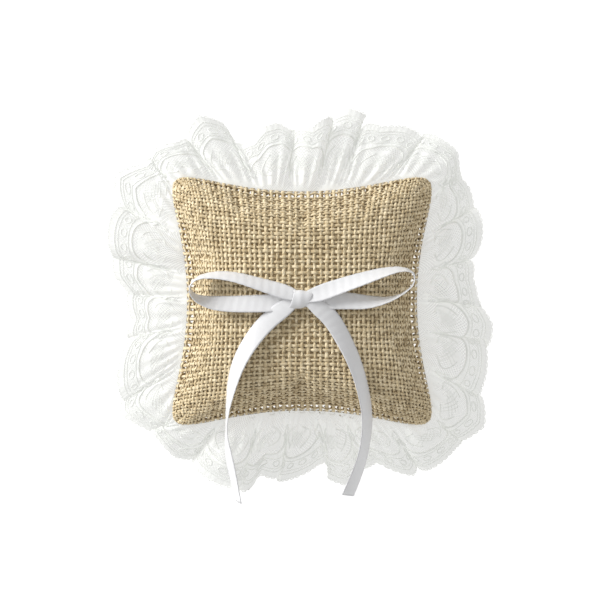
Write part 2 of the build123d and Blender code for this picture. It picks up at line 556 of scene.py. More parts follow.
@dataclass
class MeshStock:
    """Collects points, faces and strip coordinates, and cuts one mesh object from them."""

    points: list[np.ndarray] = field(default_factory=list)
    faces: list[np.ndarray] = field(default_factory=list)
    strips: list[np.ndarray] = field(default_factory=list)
    caps: list[list[int]] = field(default_factory=list)
    count: int = 0

    def grid(self, points: np.ndarray, strip: np.ndarray, wrap: bool, close: bool = False) -> None:
        """Add a grid of quads.

        Args:
            points: rows by columns by 3.
            strip: rows by columns by 2, the cloth's own coordinates in metres.
            wrap: whether the last column joins the first.
            close: whether the last row joins the first.
        """
        rows, columns = points.shape[:2]
        index = self.count + np.arange(rows * columns).reshape(rows, columns)
        if wrap:
            index = np.hstack([index, index[:, :1]])
        if close:
            index = np.vstack([index, index[:1]])
        quads = np.stack([index[:-1, :-1], index[:-1, 1:], index[1:, 1:], index[1:, :-1]], axis=-1)
        self.points.append(points.reshape(-1, 3))
        self.strips.append(strip.reshape(-1, 2))
        self.faces.append(quads.reshape(-1, 4))
        self.count += rows * columns

    def cord(
        self,
        line: np.ndarray,
        normals: np.ndarray,
        half_width: np.ndarray | float,
        half_height: np.ndarray | float,
        sides: int = 6,
        closed: bool = False,
    ) -> None:
        """Add a cord with an oval section.

        Args:
            line: the points of its middle.
            normals: which way is up at each point.
            half_width: half its width, one value or one for each point.
            half_height: half its height, the same way.
            sides: corners of its section.
            closed: whether its end joins its start.
        """
        if closed:
            along = np.roll(line, -1, axis=0) - np.roll(line, 1, axis=0)
        else:
            along = np.gradient(line, axis=0)
        along = unit(along)
        across = unit(np.cross(along, normals))
        up = np.cross(across, along)
        turn = np.linspace(0, 2 * math.pi, sides, endpoint=False)
        wide = np.broadcast_to(np.asarray(half_width, float), len(line))[:, None, None]
        high = np.broadcast_to(np.asarray(half_height, float), len(line))[:, None, None]
        ring = across[:, None] * np.cos(turn)[:, None] * wide + up[:, None] * np.sin(turn)[:, None] * high
        run = np.concatenate([[0], np.cumsum(np.linalg.norm(np.diff(line, axis=0), axis=1))])
        chart = np.stack(np.broadcast_arrays(run[:, None], (turn * 0.0005)[None]), axis=-1)
        start = self.count
        self.grid(line[:, None] + ring, chart, wrap=True, close=closed)
        if not closed:
            last = start + (len(line) - 1) * sides
            self.caps.append(list(range(start + sides - 1, start - 1, -1)))
            self.caps.append(list(range(last, last + sides)))

    def cut(self, name: str, material: bpy.types.Material) -> bpy.types.Object:
        """Make the object.

        Args:
            name: the piece's name.
            material: its finish.

        Returns:
            The object, linked to the scene.
        """
        points = np.concatenate(self.points)
        faces = np.concatenate(self.faces).tolist() + self.caps
        mesh = bpy.data.meshes.new(name)
        mesh.from_pydata(points.tolist(), [], faces)
        layer = mesh.uv_layers.new(name="strip")
        corners = np.empty(len(mesh.loops), int)
        mesh.loops.foreach_get("vertex_index", corners)
        layer.data.foreach_set("uv", np.concatenate(self.strips)[corners].astype(np.float32).ravel())
        mesh.polygons.foreach_set("use_smooth", [True] * len(mesh.polygons))
        mesh.materials.append(material)
        mesh.update()
        piece = bpy.data.objects.new(name, mesh)
        bpy.context.scene.collection.objects.link(piece)
        return piece


def unit(vectors: np.ndarray) -> np.ndarray:
    """The same directions, each one long.

    Args:
        vectors: any vectors.

    Returns:
        Their unit vectors.
    """
    return vectors / np.maximum(np.linalg.norm(vectors, axis=-1, keepdims=True), 1e-12)


def soft_noise(values: np.ndarray, seed: float) -> np.ndarray:
    """A smooth wander from -1 to 1 along values, different for each seed.

    Args:
        values: places along it.
        seed: picks the wander.

    Returns:
        One value for each place.
    """
    total = np.zeros_like(values, dtype=float)
    for octave, weight in enumerate((0.5, 0.3, 0.2)):
        rate = 1.7**octave
        total += weight * np.sin(values * rate + seed * (3.1 + octave) + octave)
        total += weight * 0.6 * np.sin(values * rate * 0.61 + seed * 7.7)
    return total / 1.6


def read_route(points: list[tuple], steps: int) -> np.ndarray:
    """Points along the smooth line that a route draws.

    Args:
        points: the route's points in metres, the line's control points.
        steps: points read from each run.

    Returns:
        The points of the line, in order.
    """
    curve = bpy.data.curves.new("route", "CURVE")
    curve.dimensions = "3D"
    spline = curve.splines.new("NURBS")
    spline.points.add(len(points) - 1)
    for knot, point in zip(spline.points, points):
        knot.co = (*point, 1.0)
    spline.order_u = 3
    spline.use_endpoint_u = True
    spline.resolution_u = steps
    holder = bpy.data.objects.new("route", curve)
    mesh = bpy.data.meshes.new_from_object(holder)
    line = np.array([vertex.co[:] for vertex in mesh.vertices])
    bpy.data.objects.remove(holder)
    bpy.data.meshes.remove(mesh)
    bpy.data.curves.remove(curve)
    return line


class Face(Enum):
    """The two burlap faces of the cushion."""

    FRONT = "front"
    BACK = "back"


# ---------------------------------------------------------------- cushion


@dataclass
class CushionForm:
    """The stuffed shape that the cloth is laid on: two square panels, crowned and drawn in."""

    half_x: float
    half_y: float
    seam_z: float
    top_z: float
    pull_in: float = 0.22
    corner_power: float = 6.0
    crown_power: float = 2.4
    crown_edge: float = 0.43
    flat_share: float = 0.62
    grid_size: int = 57
    swell: dict[Face, np.ndarray] = field(default_factory=dict)

    def plan(self, u: np.ndarray, v: np.ndarray) -> tuple[np.ndarray, np.ndarray]:
        """Where a point of a flat square panel, -1 to 1 each way, lies in plan.

        Args:
            u: its place across the panel, -1 to 1.
            v: its place up the panel, -1 to 1.

        Returns:
            Its x and y in metres.
        """
        reach = np.maximum(np.abs(u), np.abs(v))
        edge_u, edge_v = np.abs(u) / np.maximum(reach, 1e-9), np.abs(v) / np.maximum(reach, 1e-9)
        corner = np.maximum(edge_u**self.corner_power + edge_v**self.corner_power, 1.0)
        round_off = corner ** (-1 / self.corner_power)
        shrink = 1 + (round_off - 1) * reach**4
        u, v = u * shrink, v * shrink
        x = self.half_x * u * (1 - self.pull_in * (1 - v * v) * np.abs(u))
        y = self.half_y * v * (1 - self.pull_in * (1 - u * u) * np.abs(v))
        return x, y

    def smooth_point(self, face: Face, u: np.ndarray, v: np.ndarray) -> np.ndarray:
        """A point of the shape before the stuffing has swollen it.

        Args:
            face: which panel it is on.
            u: its place across the panel, -1 to 1.
            v: its place up the panel, -1 to 1.

        Returns:
            The point in metres.
        """
        x, y = self.plan(u, v)
        rise = np.clip(1 - np.abs(u) ** self.crown_power, 0, 1)
        rise = (rise * np.clip(1 - np.abs(v) ** self.crown_power, 0, 1)) ** self.crown_edge
        if face is Face.FRONT:
            z = self.seam_z + (self.top_z - self.seam_z) * rise
        else:
            z = self.seam_z * (1 - np.minimum(rise / self.flat_share, 1.0) ** 0.9)
        return np.stack([x, y, z], axis=-1)

    def point(self, face: Face, u: np.ndarray, v: np.ndarray) -> np.ndarray:
        """A point of the finished shape.

        Args:
            face: which panel it is on.
            u: its place across the panel, -1 to 1.
            v: its place up the panel, -1 to 1.

        Returns:
            The point in metres.
        """
        base = self.smooth_point(face, u, v)
        if face not in self.swell:
            return base
        last = self.grid_size - 1
        gu = np.clip((u + 1) / 2 * last, 0, last - 1e-6)
        gv = np.clip((v + 1) / 2 * last, 0, last - 1e-6)
        iu, iv = gu.astype(int), gv.astype(int)
        fu, fv = (gu - iu)[..., None], (gv - iv)[..., None]
        swell = self.swell[face]
        low = swell[iu, iv] * (1 - fu) + swell[iu + 1, iv] * fu
        high = swell[iu, iv + 1] * (1 - fu) + swell[iu + 1, iv + 1] * fu
        return base + low * (1 - fv) + high * fv

    def normal(self, face: Face, u: np.ndarray, v: np.ndarray) -> np.ndarray:
        """The way out of the cushion at a point.

        Args:
            face: which panel it is on.
            u: its place across the panel, -1 to 1.
            v: its place up the panel, -1 to 1.

        Returns:
            A unit vector.
        """
        step = 0.012
        u, v = np.clip(u, -0.985, 0.985), np.clip(v, -0.985, 0.985)
        du = self.point(face, u + step, v) - self.point(face, u - step, v)
        dv = self.point(face, u, v + step) - self.point(face, u, v - step)
        out = unit(np.cross(du, dv))
        return out if face is Face.FRONT else -out

    @staticmethod
    def _simulate(
        start: np.ndarray, faces: list, held_points: np.ndarray, pressure: float, slack: float
    ) -> np.ndarray:
        """Blow up a cloth bag whose seam is held still.

        Args:
            start: the bag's points in metres.
            faces: its faces.
            held_points: the points that stay still.
            pressure: of the filling.
            slack: share by which the cloth is too large.

        Returns:
            Where its points end up, in metres.
        """
        mesh = bpy.data.meshes.new("stuffed_bag")
        mesh.from_pydata((start * SIM_SCALE).tolist(), [], faces)
        bag = bpy.data.objects.new("stuffed_bag", mesh)
        bpy.context.scene.collection.objects.link(bag)
        held = bag.vertex_groups.new(name="seam")
        held.add([int(n) for n in held_points], 1.0, "REPLACE")
        cloth = bag.modifiers.new("stuffing", "CLOTH")
        cloth.settings.quality = 6
        cloth.settings.mass = 0.3
        cloth.settings.tension_stiffness = 15
        cloth.settings.bending_stiffness = 0.6
        cloth.settings.use_pressure = True
        cloth.settings.uniform_pressure_force = pressure
        cloth.settings.shrink_min = -slack
        cloth.settings.vertex_group_mass = "seam"
        cloth.settings.effector_weights.gravity = 0
        cloth.point_cache.frame_end = SIM_FRAMES
        scene = bpy.context.scene
        for step in range(1, SIM_FRAMES + 1):
            scene.frame_set(step)
        view = bag.evaluated_get(bpy.context.evaluated_depsgraph_get())
        moved = np.empty(len(view.data.vertices) * 3)
        view.data.vertices.foreach_get("co", moved)
        moved = moved.reshape(-1, 3) / SIM_SCALE
        scene.frame_set(1)
        bpy.data.objects.remove(bag)
        return moved

    def stuff(self, pressure: float = 4.0, slack: float = 0.035, cap: float = 1.8 * MM) -> None:
        """Swell the shape by cloth simulation, and keep how far each point has moved.

        Args:
            pressure: of the filling.
            slack: share by which the cloth is larger than the shape, which puckers it.
            cap: the furthest that a point may move.
        """
        size = self.grid_size
        line = np.linspace(-1, 1, size)
        u, v = np.meshgrid(line, line, indexing="ij")
        grids = {face: self.smooth_point(face, u, v) for face in Face}
        index = np.arange(size * size).reshape(size, size)
        rim = (np.abs(u) > 0.999) | (np.abs(v) > 0.999)
        back_index = np.where(rim, index, index + size * size)
        faces = []
        for table, flip in ((index, False), (back_index, True)):
            quads = np.stack([table[:-1, :-1], table[1:, :-1], table[1:, 1:], table[:-1, 1:]], axis=-1)
            quads = quads.reshape(-1, 4)
            faces += (quads[:, ::-1] if flip else quads).tolist()
        start = np.concatenate([grids[Face.FRONT].reshape(-1, 3), grids[Face.BACK].reshape(-1, 3)])
        moved = self._simulate(start, faces, index[rim], pressure, slack)
        shift = moved - start
        far = np.linalg.norm(shift, axis=1, keepdims=True)
        shift *= np.minimum(1, cap / np.maximum(far, 1e-9))
        for face, table in ((Face.FRONT, index), (Face.BACK, back_index)):
            swell = shift[table]
            if face is Face.FRONT:
                rise = (grids[face][..., 2] - self.seam_z) / (self.top_z - self.seam_z)
                swell[..., 2] -= swell[size // 2, size // 2, 2] * rise
            else:
                resting = grids[face][..., 2] < 0.3 * MM
                swell[..., 2] = np.where(resting, 0, np.maximum(swell[..., 2], -grids[face][..., 2]))
            self.swell[face] = swell
        LOG.info("cushion form stuffed, mean shift %.2f mm", float(far.mean()) / MM)


@dataclass
class BurlapCover:
    """The front and back panels, as real over-and-under yarns laid on the form."""

    form: CushionForm
    yarns: int = 55
    crowding: float = 0.15  # how much closer the yarns lie at the seams
    half_width: float = 0.64 * MM
    half_height: float = 0.34 * MM
    wave: float = 0.36 * MM
    steps: int = 5  # points from one crossing to the next
    tuck: float = 2.2 * MM  # how far a yarn's end turns into the seam
    seed: int = 7

    def spread(self, place: np.ndarray) -> np.ndarray:
        """Where a share of the weave, -1 to 1, lies on the panel.

        Args:
            place: a share of the weave.

        Returns:
            A share of the panel, -1 to 1.
        """
        return place * (1 + self.crowding) - self.crowding * place**3

    def yarn_line(self, face: Face, number: int, warp: bool) -> tuple[np.ndarray, ...]:
        """One yarn's middle, its normals and its width along it.

        Args:
            face: which panel it is on.
            number: its place in the weave, from 0.
            warp: whether it runs up the panel.

        Returns:
            Its points, its normals and its half widths.
        """
        run = np.linspace(-1, 1, self.yarns * self.steps + 1)
        side = -1 + (2 * number + 1) / self.yarns
        shift = number * 1.37 + (40 if warp else 0) + (90 if face is Face.BACK else 0)
        side = side + (soft_noise(run * 5, shift) * 0.3 + soft_noise(run * 23, shift + 5) * 0.16) / self.yarns
        room = 1 + self.crowding - 3 * self.crowding * side**2
        side, spread_run = self.spread(side), self.spread(run)
        u, v = (side, spread_run) if warp else (spread_run, side)
        base = self.form.point(face, u, v)
        normals = self.form.normal(face, u, v)
        parity = (-1) ** number * (1 if warp else -1)
        beat = np.cos(math.pi * ((run + 1) * self.yarns / 2 - 0.5)) * parity
        depth = self.wave + self.half_height
        line = base + normals * (beat * self.wave - depth)[:, None]
        if face is Face.BACK:
            line[:, 2] = np.maximum(line[:, 2], 1.25 * self.half_height)
        slub = 1 + 0.24 * soft_noise(run * 14, shift + 3) + 0.16 * soft_noise(run * 47, shift + 9)
        slub *= 1 + 0.16 * math.sin(number * 12.9898 + shift)
        slub *= np.maximum(room / (1 + self.crowding), 0.62)
        pinch = 1 - 0.10 * np.abs(beat)
        return line, normals, self.half_width * slub * (2 - pinch)

    def turned_in(self, line: np.ndarray) -> np.ndarray:
        """A yarn with both its ends turned into the seam.

        Args:
            line: the yarn's points.

        Returns:
            The points with one more at each end.
        """
        ends = []
        for end in (line[0], line[-1]):
            inward = -unit(np.array([end[0], end[1], 0.0]))
            tucked = end + inward * self.tuck
            tucked[2] = self.form.seam_z + (0.5 * MM if end[2] > self.form.seam_z else -0.5 * MM)
            ends.append(tucked)
        return np.vstack([ends[0], line, ends[1]])

    def lay(self, face: Face, warp: bool, finish: bpy.types.Material) -> bpy.types.Object:
        """Weave all the yarns of one direction on one face into one piece.

        Args:
            face: which panel they are on.
            warp: whether they run up the panel.
            finish: the piece's material.

        Returns:
            The piece.
        """
        stock = MeshStock()
        for number in range(self.yarns):
            line, normals, width = self.yarn_line(face, number, warp)
            line = self.turned_in(line)
            normals = np.vstack([normals[:1], normals, normals[-1:]])
            width = np.concatenate([width[:1], width, width[-1:]])
            height = self.half_height * (0.8 + 0.2 * width / self.half_width)
            stock.cord(line, normals, width, height, sides=5)
        name = f"burlap_{face.value}_{'warp' if warp else 'weft'}"
        return stock.cut(name, finish)

    def fuzz(self, face: Face, count: int, finish: bpy.types.Material) -> bpy.types.Object:
        """Loose jute hairs that stand out of the weave.

        Args:
            face: which panel they are on.
            count: how many hairs.
            finish: the piece's material.

        Returns:
            The piece.
        """
        draw = np.random.default_rng(self.seed + (1 if face is Face.BACK else 0))
        stock = MeshStock()
        for _ in range(count):
            u, v = draw.uniform(-0.94, 0.94, 2)
            heading = draw.uniform(0, 2 * math.pi)
            length = draw.uniform(2.0, 6.0) * MM
            lift = draw.uniform(0.2, 1.1) * MM
            curl = draw.uniform(-2.2, 2.2)
            part = np.linspace(0, 1, 6)
            turn = heading + curl * part
            reach = length * part / self.form.half_x
            du, dv = np.cos(turn) * reach, np.sin(turn) * reach
            line = self.form.point(face, np.clip(u + du, -1, 1), np.clip(v + dv, -1, 1))
            normals = self.form.normal(face, u + du, v + dv)
            line = line + normals * (np.sin(part * math.pi * 0.8) * lift - 0.3 * MM)[:, None]
            if face is Face.BACK:
                line[:, 2] = np.maximum(line[:, 2], 0.1 * MM)
            stock.cord(line, normals, 0.045 * MM, 0.045 * MM, sides=3)
        return stock.cut(f"burlap_{face.value}_hairs", finish)

    def build(self) -> None:
        """Make and place the pieces of both panels."""
        jute = JuteFinish("jute").make()
        pale = JuteFinish("jute_hair", light=shade(236, 222, 190), middle=shade(214, 196, 156)).make()
        for face, node in ((Face.FRONT, "front_panel"), (Face.BACK, "back_panel")):
            for warp in (True, False):
                piece = self.lay(face, warp, jute)
                settle(piece, PILLOW, "burlap", node)
            hairs = self.fuzz(face, 420 if face is Face.FRONT else 260, pale)
            settle(hairs, PILLOW, "burlap")


def settle(piece: bpy.types.Object, body: str, slot: str, *nodes: str) -> bpy.types.Object:
    """Give a piece its body, hide the CAD nodes that it stands for, and report it.

    Args:
        piece: the object.
        body: what it rides on.
        slot: not used.
        *nodes: the CAD nodes that it replaces.

    Returns:
        The piece.
    """
    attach(piece, body)
    if nodes:
        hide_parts(*nodes)
    LOG.info("%s: %d faces, on %s", piece.name, len(piece.data.polygons), body)
    return piece


@dataclass
class InnerBag:
    """The calico bag and the filling inside the burlap."""

    form: CushionForm
    inset: float = 1.55 * MM
    size: int = 60
    filling_inset: float = 4.2 * MM
    lump: float = 1.6 * MM
    cloth: float = 0.25 * MM
    fill: float = 0.8

    def half(
        self, face: Face, inset: float, lumps: float, name: str, finish: bpy.types.Material
    ) -> bpy.types.Object:
        """One face of a layer inside the cover, shrunk by an inset.

        Args:
            face: which side of the cushion.
            inset: metres inside the cover.
            lumps: how deep its hollows are.
            name: the piece's name.
            finish: the piece's material.

        Returns:
            The piece.
        """
        line = np.linspace(-1, 1, self.size)
        u, v = np.meshgrid(line, line, indexing="ij")
        edge = 1 - (1.5 * inset - 0.4 * MM) / self.form.half_x
        points = self.form.point(face, u * edge, v * edge)
        points -= self.form.normal(face, u * edge, v * edge) * inset
        swirl = soft_noise(u * 9 + v * 4, 2.0) * soft_noise(v * 8 - u * 5, 5.0)
        points[..., 2] -= (1 if face is Face.FRONT else -1) * np.abs(swirl) * lumps
        rim = (np.abs(u) > 0.999) | (np.abs(v) > 0.999)
        points[..., 2] = np.where(rim, self.form.seam_z, points[..., 2])
        if face is Face.BACK:
            points[..., 2] = np.maximum(points[..., 2], 0.8 * inset)
        stock = MeshStock()
        flat = np.stack([u * self.form.half_x, v * self.form.half_y], axis=-1)
        stock.grid(points if face is Face.BACK else points[::-1], flat, wrap=False)
        return stock.cut(name, finish)

    def build(self) -> None:
        """Make and place the bag's two halves and the filling."""
        calico = ClothFinish("calico", shade(234, 212, 170), shade(208, 184, 140)).make()
        fibre = FillingFinish().make()
        for face, node in ((Face.FRONT, "lining_front"), (Face.BACK, "lining_back")):
            piece = self.half(face, self.inset, 0.0, f"inner_bag_{face.value}", calico)
            solid = piece.modifiers.new("cloth", "SOLIDIFY")
            solid.thickness = self.cloth
            settle(piece, PILLOW, "lining", node)
        for face in Face:
            wad = self.half(face, self.filling_inset, self.lump, f"filling_{face.value}", fibre)
            settle(wad, PILLOW, "filling", "stuffing")


# ---------------------------------------------------------------- lace


@dataclass
class LaceFrill:
    """One strip of scalloped lace, gathered into the seam all the way round."""

    form: CushionForm
    length: float = 0.700
    width: float = 0.030
    scallop: float = 27.0 * MM
    scallop_depth: float = 7.0 * MM
    arch_depth: float = 3.6 * MM  # how much deeper the gimp's arches are than the edge's
    fall: float = 12.6 * MM
    seed: int = 11
    rim: list[tuple[float, float]] = field(default_factory=lambda: FRILL_RIM)

    def __post_init__(self) -> None:
        """Draw the folds' sizes and the two lines that the strip runs between."""
        draw = np.random.default_rng(self.seed)
        self.scallops = round(self.length / self.scallop)
        count = self.scallops
        shift = draw.uniform(-0.2, 0.2, count + 1)
        shift[0] = shift[-1] = 0
        self.fold_ends = (np.arange(count + 1) + shift) / count
        self.fold_high = draw.uniform(4.0, 11.0, count) * MM
        self.fold_lean = draw.uniform(-0.34, 0.34, count)
        self.fold_wide = draw.uniform(0.15, 0.27, count)
        self.fold_reach = draw.uniform(-0.03, 0.05, count)
        self.inner = self._ring(self._seam_points())
        self.outer = self._ring(np.array([(x * MM, y * MM, 0) for x, y in self.rim]))

    def _seam_points(self) -> np.ndarray:
        """Points of the seam line, from the middle of the right side round to the left.

        Returns:
            The points, in metres.
        """
        turn = np.linspace(0, 2 * math.pi, 240, endpoint=False)
        u, v = np.cos(turn), np.sin(turn)
        reach = np.maximum(np.abs(u), np.abs(v))
        x, y = self.form.plan(u / reach, v / reach)
        return np.stack([x, y, np.zeros_like(x)], axis=-1)

    @staticmethod
    def _ring(points: np.ndarray) -> np.ndarray:
        """A closed line as 720 points, one at each half degree round the middle.

        Args:
            points: a closed line round the middle.

        Returns:
            The distance from the middle at each half degree.
        """
        turn = np.unwrap(np.arctan2(points[:, 1], points[:, 0]))
        order = np.argsort(turn)
        turn, points = turn[order], points[order]
        turn = np.concatenate([turn - 2 * math.pi, turn, turn + 2 * math.pi])
        far = np.tile(np.linalg.norm(points[:, :2], axis=1), 3)
        even = np.linspace(0, 2 * math.pi, 720, endpoint=False)
        return np.interp(even, turn, far)

    def _around(self, place: np.ndarray, ring: np.ndarray) -> np.ndarray:
        """The distance from the middle at a share of the way round, on a ring.

        Args:
            place: share of the way round.
            ring: distances at each half degree.

        Returns:
            The distance, in metres.
        """
        slot = (place % 1) * len(ring)
        low = slot.astype(int) % len(ring)
        part = slot - np.floor(slot)
        return ring[low] * (1 - part) + ring[(low + 1) % len(ring)] * part

    def edge(self, along: np.ndarray) -> np.ndarray:
        """How far the strip reaches out at a place along it, with its scallops, in metres.

        Args:
            along: share of the strip's length.

        Returns:
            The distance, in metres.
        """
        return self.width - self.scallop_depth * (1 - self.swing(along) ** 0.75)

    def cut_area(self) -> float:
        """The flat strip's area in square metres, without what the scallops' notches leave out.

        Returns:
            The area.
        """
        along = np.linspace(0, 1, 4000, endpoint=False)
        return float(self.edge(along).mean() * self.length)

    def swing(self, along: np.ndarray) -> np.ndarray:
        """0 at the notches between scallops and 1 at their middles.

        Args:
            along: share of the strip's length.

        Returns:
            A value from 0 to 1.
        """
        return np.abs(np.sin(math.pi * along * self.scallops))

    def surface(self, along: np.ndarray, out: np.ndarray) -> np.ndarray:
        """A point of the gathered strip.

        Args:
            along: share of the strip's length, 0 to 1.
            out: distance from the strip's straight edge, in metres.

        Returns:
            The points.
        """
        along = along % 1
        reach = np.clip(out / self.width, 0, 1.2)
        fold = np.clip(np.searchsorted(self.fold_ends, along, side="right") - 1, 0, self.scallops - 1)
        start, end = self.fold_ends[fold], self.fold_ends[fold + 1]
        phase = 2 * math.pi * (along - start) / (end - start)
        crest = (1 - np.cos(phase)) / 2
        opened = np.clip(reach, 0, 1) ** 0.8
        sway = 0.5 * soft_noise(reach * 2.4 + fold * 1.9, 4.0)
        lean = self.fold_lean[fold] * crest * (1 + sway)
        side = (lean - self.fold_wide[fold] * np.sin(phase)) * (end - start) * opened
        angle = 2 * math.pi * (along + side)
        inner = self._around(along, self.inner) - 1.2 * MM
        outer = self._around(along + side, self.outer)
        far = inner + (outer - inner) * reach * (1 + self.fold_reach[fold] * crest)
        gather = np.sin(2 * math.pi * along * self.scallops * 5 + 1.5 * np.sin(along * 90))
        pleat = 1.5 * MM * gather * np.exp(-reach * 2.6) * np.clip(reach * 6 - 0.5, 0, 1)
        curl = 1.6 * MM * soft_noise(along * 130 + reach * 1.5, 8.0) * np.clip(reach, 0, 1) ** 2
        z = self.form.seam_z - self.fall * np.clip(reach, 0, 1) ** 1.3
        z = z + self.fold_high[fold] * crest**0.8 * opened + pleat + curl
        z = z + 0.35 * MM * soft_noise(along * 420 + out / MM * 0.5, 3.0) * opened
        z = np.where(z < 1.0 * MM, 1.0 * MM + (z - 1.0 * MM) * 0.08, z)
        return np.stack([far * np.cos(angle), far * np.sin(angle), z], axis=-1)

    def on_lace(
        self, along: np.ndarray, inside: np.ndarray, lift: float = 0.0
    ) -> tuple[np.ndarray, np.ndarray]:
        """A point and its normal, at a distance inside the scalloped edge.

        Args:
            along: share of the strip's length.
            inside: metres in from the scalloped edge.
            lift: metres above the cloth.

        Returns:
            The point and its normal.
        """
        out = self.edge(along) - inside
        step = 0.4 * MM
        share = step / self.length
        du = self.surface(along + share, out) - self.surface(along - share, out)
        dv = self.surface(along, out + step) - self.surface(along, out - step)
        normal = unit(np.cross(du, dv))
        normal *= np.where(normal[..., 2:] < 0, -1, 1)
        return self.surface(along, out) + normal * lift, normal

    def ground(self, finish: bpy.types.Material) -> bpy.types.Object:
        """The strip itself.

        Args:
            finish: the piece's material.

        Returns:
            The piece.
        """
        columns, rows = 1134, 32
        along = np.linspace(0, 1, columns, endpoint=False)
        depth = np.linspace(1, 0, rows)
        a, d = np.meshgrid(along, depth, indexing="ij")
        reach = self.edge(a)
        points = self.surface(a, reach * d)
        chart = np.stack([a * self.length, reach * (1 - d)], axis=-1)
        stock = MeshStock()
        stock.grid(points, chart, wrap=False, close=True)
        return stock.cut("lace_ground", finish)

    def cords(self, finish: bpy.types.Material) -> bpy.types.Object:
        """The raised threads that run along the scallops.

        Args:
            finish: the piece's material.

        Returns:
            The piece.
        """
        stock = MeshStock()
        along = np.linspace(0, 1, 1720, endpoint=False)
        for inside, radius, arched in ((2.5, 0.20, 0), (3.8, 0.16, 0), (7.8, 0.20, 0), (9.2, 0.42, 1)):
            arch = arched * self.arch_depth * (1 - self.swing(along))
            line, normals = self.on_lace(along, inside * MM + arch, 0.18 * MM)
            stock.cord(line, normals, radius * MM, radius * MM * 0.8, sides=5, closed=True)
        return stock.cut("lace_cords", finish)

    def rings(self, finish: bpy.types.Material) -> bpy.types.Object:
        """The row of little worked rings.

        Args:
            finish: the piece's material.

        Returns:
            The piece.
        """
        stock = MeshStock()
        count = round(self.length / (4.2 * MM))
        turn = np.linspace(0, 2 * math.pi, 12, endpoint=False)
        for number in range(count):
            along = (number + 0.5) / count + np.cos(turn) * 1.15 * MM / self.length
            inside = 5.9 * MM + np.sin(turn) * 1.15 * MM
            line, normals = self.on_lace(along, inside, 0.2 * MM)
            stock.cord(line, normals, 0.26 * MM, 0.22 * MM, sides=5, closed=True)
        return stock.cut("lace_rings", finish)

    def picots(self, finish: bpy.types.Material) -> bpy.types.Object:
        """The tiny loops along the outer edge.

        Args:
            finish: the piece's material.

        Returns:
            The piece.
        """
        stock = MeshStock()
        count = round(self.length / (1.5 * MM))
        turn = np.linspace(-0.3, math.pi + 0.3, 7)
        for number in range(count):
            along = (number + 0.5) / count + np.cos(turn) * 0.55 * MM / self.length
            inside = -np.sin(turn) * 0.55 * MM + 0.1 * MM
            line, normals = self.on_lace(along, inside)
            stock.cord(line, normals, 0.16 * MM, 0.14 * MM, sides=4)
        return stock.cut("lace_picots", finish)

    def motifs(self, finish: bpy.types.Material) -> bpy.types.Object:
        """In each scallop, a leaf spray outlined in cord round a small lattice.

        Args:
            finish: the piece's material.

        Returns:
            The piece.
        """
        stock = MeshStock()
        part = np.linspace(0, 1, 22)
        for number in range(self.scallops):
            middle = (number + 0.5) / self.scallops
            for side in (-1, 1):
                sway = side * (3.0 + 4.6 * np.sin(part * math.pi)) * MM
                depth = (13.0 + 9.0 * part) * MM
                line, normals = self.on_lace(middle + sway / self.length, depth, 0.15 * MM)
                stock.cord(line, normals, 0.24 * MM, 0.2 * MM, sides=5)
                for slant in range(4):
                    run = np.linspace(-1, 1, 7)
                    across = side * run * 2.6 + (slant - 1.5) * 1.7
                    deep = 17.0 + run * 3.0
                    line, normals = self.on_lace(middle + across * MM / self.length, deep * MM, 0.1 * MM)
                    stock.cord(line, normals, 0.13 * MM, 0.11 * MM, sides=4)
            turn = np.linspace(0, 2 * math.pi, 26, endpoint=False)
            petal = 1 + 0.22 * np.cos(5 * turn)
            bloom = (number + 1.0) / self.scallops
            along = bloom + np.cos(turn) * petal * 3.4 * MM / self.length
            inside = 13.8 * MM + np.sin(turn) * petal * 3.0 * MM
            line, normals = self.on_lace(along, inside, 0.15 * MM)
            stock.cord(line, normals, 0.24 * MM, 0.2 * MM, sides=5, closed=True)
        return stock.cut("lace_motifs", finish)

    def build(self) -> None:
        """Make and place the lace's pieces."""
        ground = LaceFinish().make()
        lit, dim = shade(222, 223, 219), shade(200, 202, 198)
        # The lace thread's painted glow stands in for light that shines through it.
        thread = ClothFinish("lace_thread", lit, dim, threads=5200.0, roughness=0.7, painted_glow=0.40).make()
        strip = settle(self.ground(ground), PILLOW, "lace", "lace_frill")
        trim = [self.cords(thread), self.rings(thread), self.picots(thread), self.motifs(thread)]
        for piece in trim:
            settle(piece, PILLOW, "lace")
        self.cut_area()


# ---------------------------------------------------------------- ribbon


@dataclass
class Stretch:
    """One stretch of ribbon: its route, its rolls in degrees, and how it is joined."""

    name: str
    node: str
    body: str
    route: list[tuple[float, float, float]]
    rolls: list[float]
    hand: int
    bend_from: tuple[float, float, float]
    bend_to: tuple[float, float, float]
    free_end: bool = False


